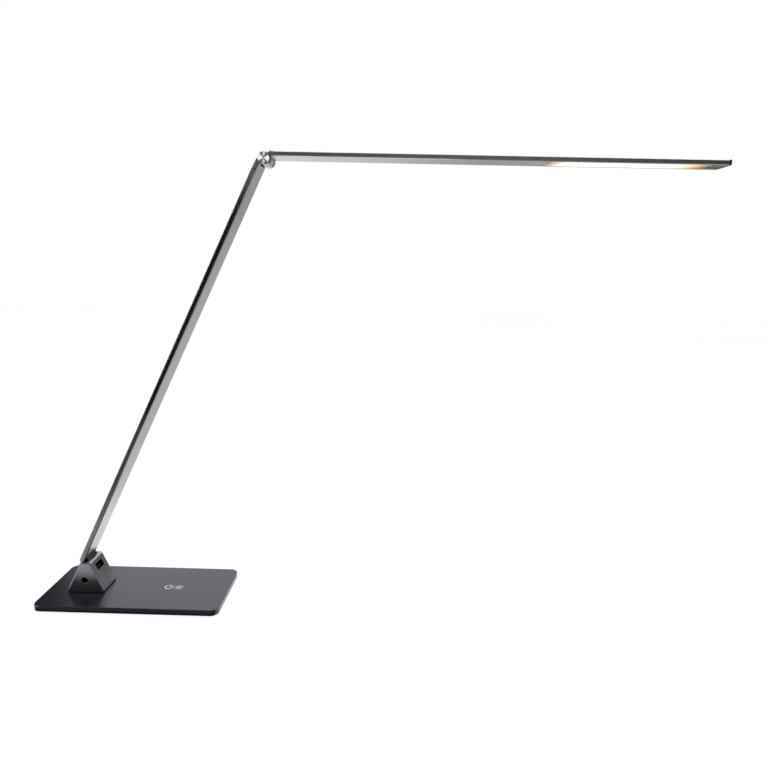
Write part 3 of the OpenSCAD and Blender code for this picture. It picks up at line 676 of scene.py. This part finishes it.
cap_turned = turned("cap_turned", (0.95, 0.95, 0.96), (0.24, 0.3), elbow, 0.5)
# The caps' rims: the same plated metal painted darker, as shade.
cap_rim_shade = surface("cap_rim_shade", (0.3, 0.3, 0.31), 1, (0.3, 0.4), (1500, 1500, 1500), tone=0.05, bump=0.05)
# The spanner holes' walls and floors are painted light and matt, as a painted highlight.
cap_hole_highlight = surface(
    "cap_hole_highlight", (0.95, 0.95, 0.96), 0.2, (0.85, 0.95), (1500, 1500, 1500), tone=0.05, bump=0.05
)
cap_radius, cap_rim = 0.0057, 0.0006
ring_count, ring_start, ring_pitch = 16, 0.00535, 0.00033
ring_heights = (0.00145, 0.0016)
hole_radius, hole_reach, hole_floor = 0.0012, 0.0031, 0.0009
bpy.ops.mesh.primitive_cylinder_add(
    vertices=96, radius=cap_radius, depth=cap_rim, location=(0, 0, cap_rim / 2)
)
cap = bpy.context.object
bpy.ops.object.transform_apply(location=True, rotation=False, scale=False)
choose(cap, "FACE", lambda middle, normal: normal.z > 0.9)
reach, rise = cap_radius, cap_rim
for step in range(ring_count):
    next_reach, next_rise = ring_start - step * ring_pitch, ring_heights[step % 2]
    bpy.ops.mesh.inset(thickness=reach - next_reach, depth=next_rise - rise)
    reach, rise = next_reach, next_rise
bpy.ops.object.mode_set(mode="OBJECT")
bpy.ops.object.duplicate(linked=False)
rear_cap = bpy.context.object
for y in (-hole_reach, hole_reach):
    upright(cap, "DIFFERENCE", hole_radius, 0, y, hole_floor, 0.0039, sides=40)


def in_holes(face, seat):
    """Whether a face of the front cap is a wall or the floor of a spanner hole."""
    across, up = abs(face.center.x - elbow[0]), abs(face.center.z - elbow[2])
    beside = across < hole_radius + 0.00001 and hole_reach - 0.0013 < up < hole_reach + 0.0013
    return beside and (face.normal.y > -0.5 or face.center.y > seat - hole_floor - 0.0002)


for piece, node, name, turn, seat in (
    (cap, "elbow_cap_front", "cap_front.turned", pi / 2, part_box("elbow_cap_front")[1][1]),
    (rear_cap, "elbow_cap_rear", "cap_rear.turned", -pi / 2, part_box("elbow_cap_rear")[0][1]),
):
    piece.rotation_euler = (turn, 0, 0)
    piece.location = (elbow[0], seat, elbow[2])
    settle(piece, name, "lower_arm", "cap_chrome", [cap_turned, cap_rim_shade, cap_hole_highlight], node)
    for face in piece.data.polygons:
        face.material_index = 0 if abs(face.normal.y) > 0.5 else 1
        if piece == cap and in_holes(face, seat):
            face.material_index = 2

# ---- Upper arm ----
# An extruded channel of the same aluminium, its chamfers painted brighter as a highlight, closed
# below by a brushed strip from the elbow to the light, by a short plate beyond it, and at the tip by a dark
# cap.

along_the_arm = (1, 0, 0)
upper_brushed = surface(
    "upper_brushed", (0.52, 0.52, 0.54), 1, (0.26, 0.38), (14, 2400, 900), bump=0.06,
    lay=along_the_arm, Anisotropic=0.5
)
# Painted highlight: a brighter copy of the aluminium for the chamfers.
upper_chamfer_highlight = surface("upper_chamfer_highlight", (0.94, 0.94, 0.95), 1, (0.1, 0.16), (30, 900, 900), tone=0.05)
strip_brushed = surface(
    "strip_brushed", (0.66, 0.66, 0.67), 1, (0.28, 0.4), (14, 2400, 900), tone=0.08, bump=0.06,
    lay=along_the_arm, Anisotropic=0.5
)
tip_dark = surface("tip_dark", (0.012, 0.012, 0.013), 0, (0.4, 0.55), (2500, 2500, 2500), tone=0.2)
dressed(
    "upper_profile", "upper_profile.brushed", "upper_arm", "upper_aluminium",
    [upper_brushed, upper_chamfer_highlight], 0.00015, lambda face: 1 if 0.3 < abs(face.normal.y) < 0.9 else 0
)
dressed("under_plate", "under_plate.brushed", "upper_arm", "under_aluminium", [strip_brushed], 0.0001)
dressed("tip_plate", "tip_plate.brushed", "upper_arm", "under_aluminium", [strip_brushed], 0.0001)
dressed("tip_cap", "tip_cap.moulded", "upper_arm", "tip_plastic", [tip_dark], 0.0003)

# ---- Light window ----
# Two rows of LED packages on a white board shine through an opal strip. The strip is white
# where they lie under it and fades to a warm glow, on a slant, past the last package at each end.

solder_white = surface("solder_white", (0.82, 0.82, 0.8), 0, (0.3, 0.45), (900, 900, 900), tone=0.04)
phosphor = surface("phosphor", (0.85, 0.62, 0.12), 0, (0.3, 0.45), (900, 900, 900), tone=0.06)
coat(solder_white, "led_board")
coat(phosphor, "led_chips")

opal = bpy.data.materials.new("opal_lit")
opal.use_nodes = True
tree = opal.node_tree
shader = tree.nodes["Principled BSDF"]
shader.inputs["Base Color"].default_value = (0.2, 0.17, 0.14, 1)
shader.inputs["Roughness"].default_value = 0.6
shader.inputs["Specular IOR Level"].default_value = 0.2
place = tree.nodes.new("ShaderNodeTexCoord")
slant = tree.nodes.new("ShaderNodeVectorMath")
slant.operation = "DOT_PRODUCT"
slant.inputs[1].default_value = (1, 0.15, 0)
tree.links.new(place.outputs["Object"], slant.inputs[0])
low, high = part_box("diffuser")
along = tree.nodes.new("ShaderNodeMapRange")
along.inputs["From Min"].default_value = low[0]
along.inputs["From Max"].default_value = high[0]
tree.links.new(slant.outputs["Value"], along.inputs["Value"])
glow = tree.nodes.new("ShaderNodeValToRGB")
stops = glow.color_ramp.elements
stops[0].position, stops[0].color = 0.003, (0.1, 0.02, 0.0, 1)
stops[1].position, stops[1].color = 1.0, (0.3, 0.13, 0.05, 1)
for position, colour in (
    (0.016, (0.33, 0.17, 0.07)), (0.028, (0.49, 0.31, 0.17)), (0.041, (0.57, 0.38, 0.22)),
    (0.067, (0.74, 0.54, 0.34)), (0.092, (1.0, 0.84, 0.74)), (0.13, (1.1, 1.08, 1.02)),
    (0.8, (1.1, 1.08, 1.02)), (0.843, (1.05, 0.98, 0.85)), (0.879, (0.95, 0.78, 0.58)),
    (0.917, (0.95, 0.58, 0.3)), (0.936, (0.8, 0.46, 0.21)), (0.954, (0.62, 0.34, 0.15)),
    (0.974, (0.45, 0.22, 0.09)),
):
    stop = stops.new(position)
    stop.color = (*colour, 1)
tree.links.new(along.outputs["Result"], glow.inputs["Fac"])
tree.links.new(glow.outputs["Color"], shader.inputs["Emission Color"])
shader.inputs["Emission Strength"].default_value = 1.0
coat(opal, "diffuser")
